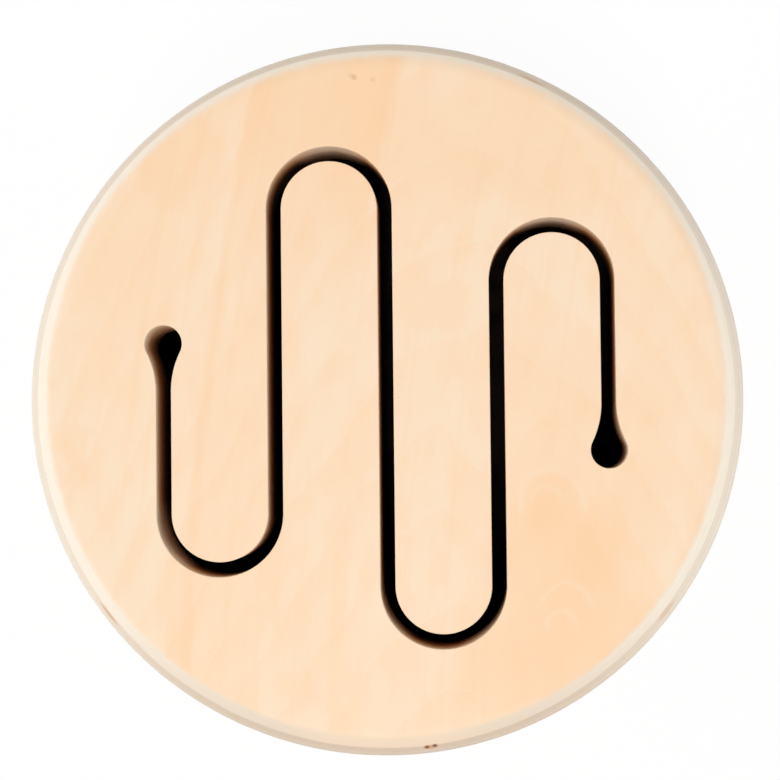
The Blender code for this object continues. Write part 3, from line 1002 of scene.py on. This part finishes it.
camera = bpy.data.objects.new("camera", bpy.data.cameras.new("camera"))
bpy.context.collection.objects.link(camera)
camera.data.sensor_width = 36.0
camera.data.lens = camera.data.sensor_width * FOCAL_PIXELS / FRAME_PIXELS
camera.data.shift_x = 0.5 - CENTRE_PIXEL[0] / FRAME_PIXELS
camera.data.shift_y = CENTRE_PIXEL[1] / FRAME_PIXELS - 0.5
camera.data.clip_start = 0.01
look = Matrix.Rotation(EYE_ROLL, 3, "Z") @ Matrix.Rotation(EYE_TILT, 3, "X")
camera.matrix_world = Matrix.Translation(EYE) @ look.transposed().to_4x4()
bpy.context.scene.camera = camera
shift = round(camera.data.shift_x, 3), round(camera.data.shift_y, 3)
print("lens:", round(camera.data.lens, 1), "mm, shift", shift)

# %% [markdown]
# ## Floor and light
#
# Most of the light comes from a soft strip high in front. It shines a little way down the walls that face
# it and leaves the rest of the slot black. Weaker lights at the left, the right and the back brighten the
# rim. A light right above would shine straight down through the slot, so there is none, and the world is
# dim there too. The floor is white to the camera but keeps a little of its own shading, so the drum's
# shadow stays.

# %% Floor
FLOOR_WHITE = 0.94
FLOOR_HALF = 3.0
FLOOR_PAINT = (0.95, 0.95, 0.95, 1.0)
WHITE = (1.0, 1.0, 1.0, 1.0)

floor_shape = bmesh.new()
bmesh.ops.create_grid(floor_shape, x_segments=1, y_segments=1, size=FLOOR_HALF)
floor = bpy.data.objects.new("floor", mesh_of("floor", floor_shape))
bpy.context.collection.objects.link(floor)


def seen_directly(start):
    """1 for rays from the camera, and for those by way of metal or glass."""
    path = start.node("ShaderNodeLightPath", {}, {}, "Is Camera Ray")
    seen = path + path.out("Is Glossy Ray") + path.out("Is Transmission Ray")
    return seen.math("MINIMUM", seen, 1.0)


floor_paint = bpy.data.materials.new("white_floor")
floor_paint.use_nodes = True
start = Wire(floor_paint.node_tree)
matt = start.node("ShaderNodeBsdfDiffuse", {}, {"Color": FLOOR_PAINT})
glow = start.node("ShaderNodeEmission", {}, {"Color": WHITE, "Strength": 1.0})
both = start.node("ShaderNodeMixShader", {}, {0: seen_directly(start) * FLOOR_WHITE, 1: matt, 2: glow})
start.plug(floor_paint.node_tree.nodes["Material Output"], {"Surface": both})
floor.data.materials.append(floor_paint)
print("floor is", FLOOR_WHITE, "white to the camera")

# %% World
AMBIENT = 0.168
OVERHEAD = 0.15
DIM_CONE = (0.985, 0.92)

world = bpy.data.worlds.new("studio")
world.use_nodes = True
bpy.context.scene.world = world
start = Wire(world.node_tree)
ray = start.node("ShaderNodeTexCoord", {}, {}, "Generated")
up = start.node("ShaderNodeSeparateXYZ", {}, {0: ray}).out("Z")
ambient = up.fade(*DIM_CONE) * (1 - OVERHEAD) * AMBIENT + OVERHEAD * AMBIENT
seen = seen_directly(start)
strength = seen * (1 - ambient) + ambient
start.plug(world.node_tree.nodes["Background"], {"Color": WHITE, "Strength": strength})
print("ambient light:", AMBIENT, "and", OVERHEAD, "of it from above")

# %% Soft lights
LIGHTS = (("left_light", (-1.75, 0.20, 1.04), (1.2, 1.2), 11.6),
          ("right_light", (1.77, -0.03, 1.04), (1.2, 1.2), 9.2),
          ("front_light", (0.0, -1.89, 4.675), (0.6, 2.37), 156.4),
          ("back_light", (-1.2, 1.52, 0.58), (1.6, 0.4), 6.0))

for name, place, (width, height), watts in LIGHTS:
    lamp = bpy.data.lights.new(name, "AREA")
    lamp.shape = "RECTANGLE"
    lamp.size = width
    lamp.size_y = height
    lamp.energy = watts
    stand = bpy.data.objects.new(name, lamp)
    stand.location = place
    stand.rotation_euler = (Vector(place) - Vector((0, 0, HEAD_TOP))).to_track_quat("Z", "Y").to_euler()
    bpy.context.collection.objects.link(stand)
print("lights:", [name for name, *_ in LIGHTS])

# %% Picture settings
bpy.context.scene.view_settings.view_transform = "Standard"
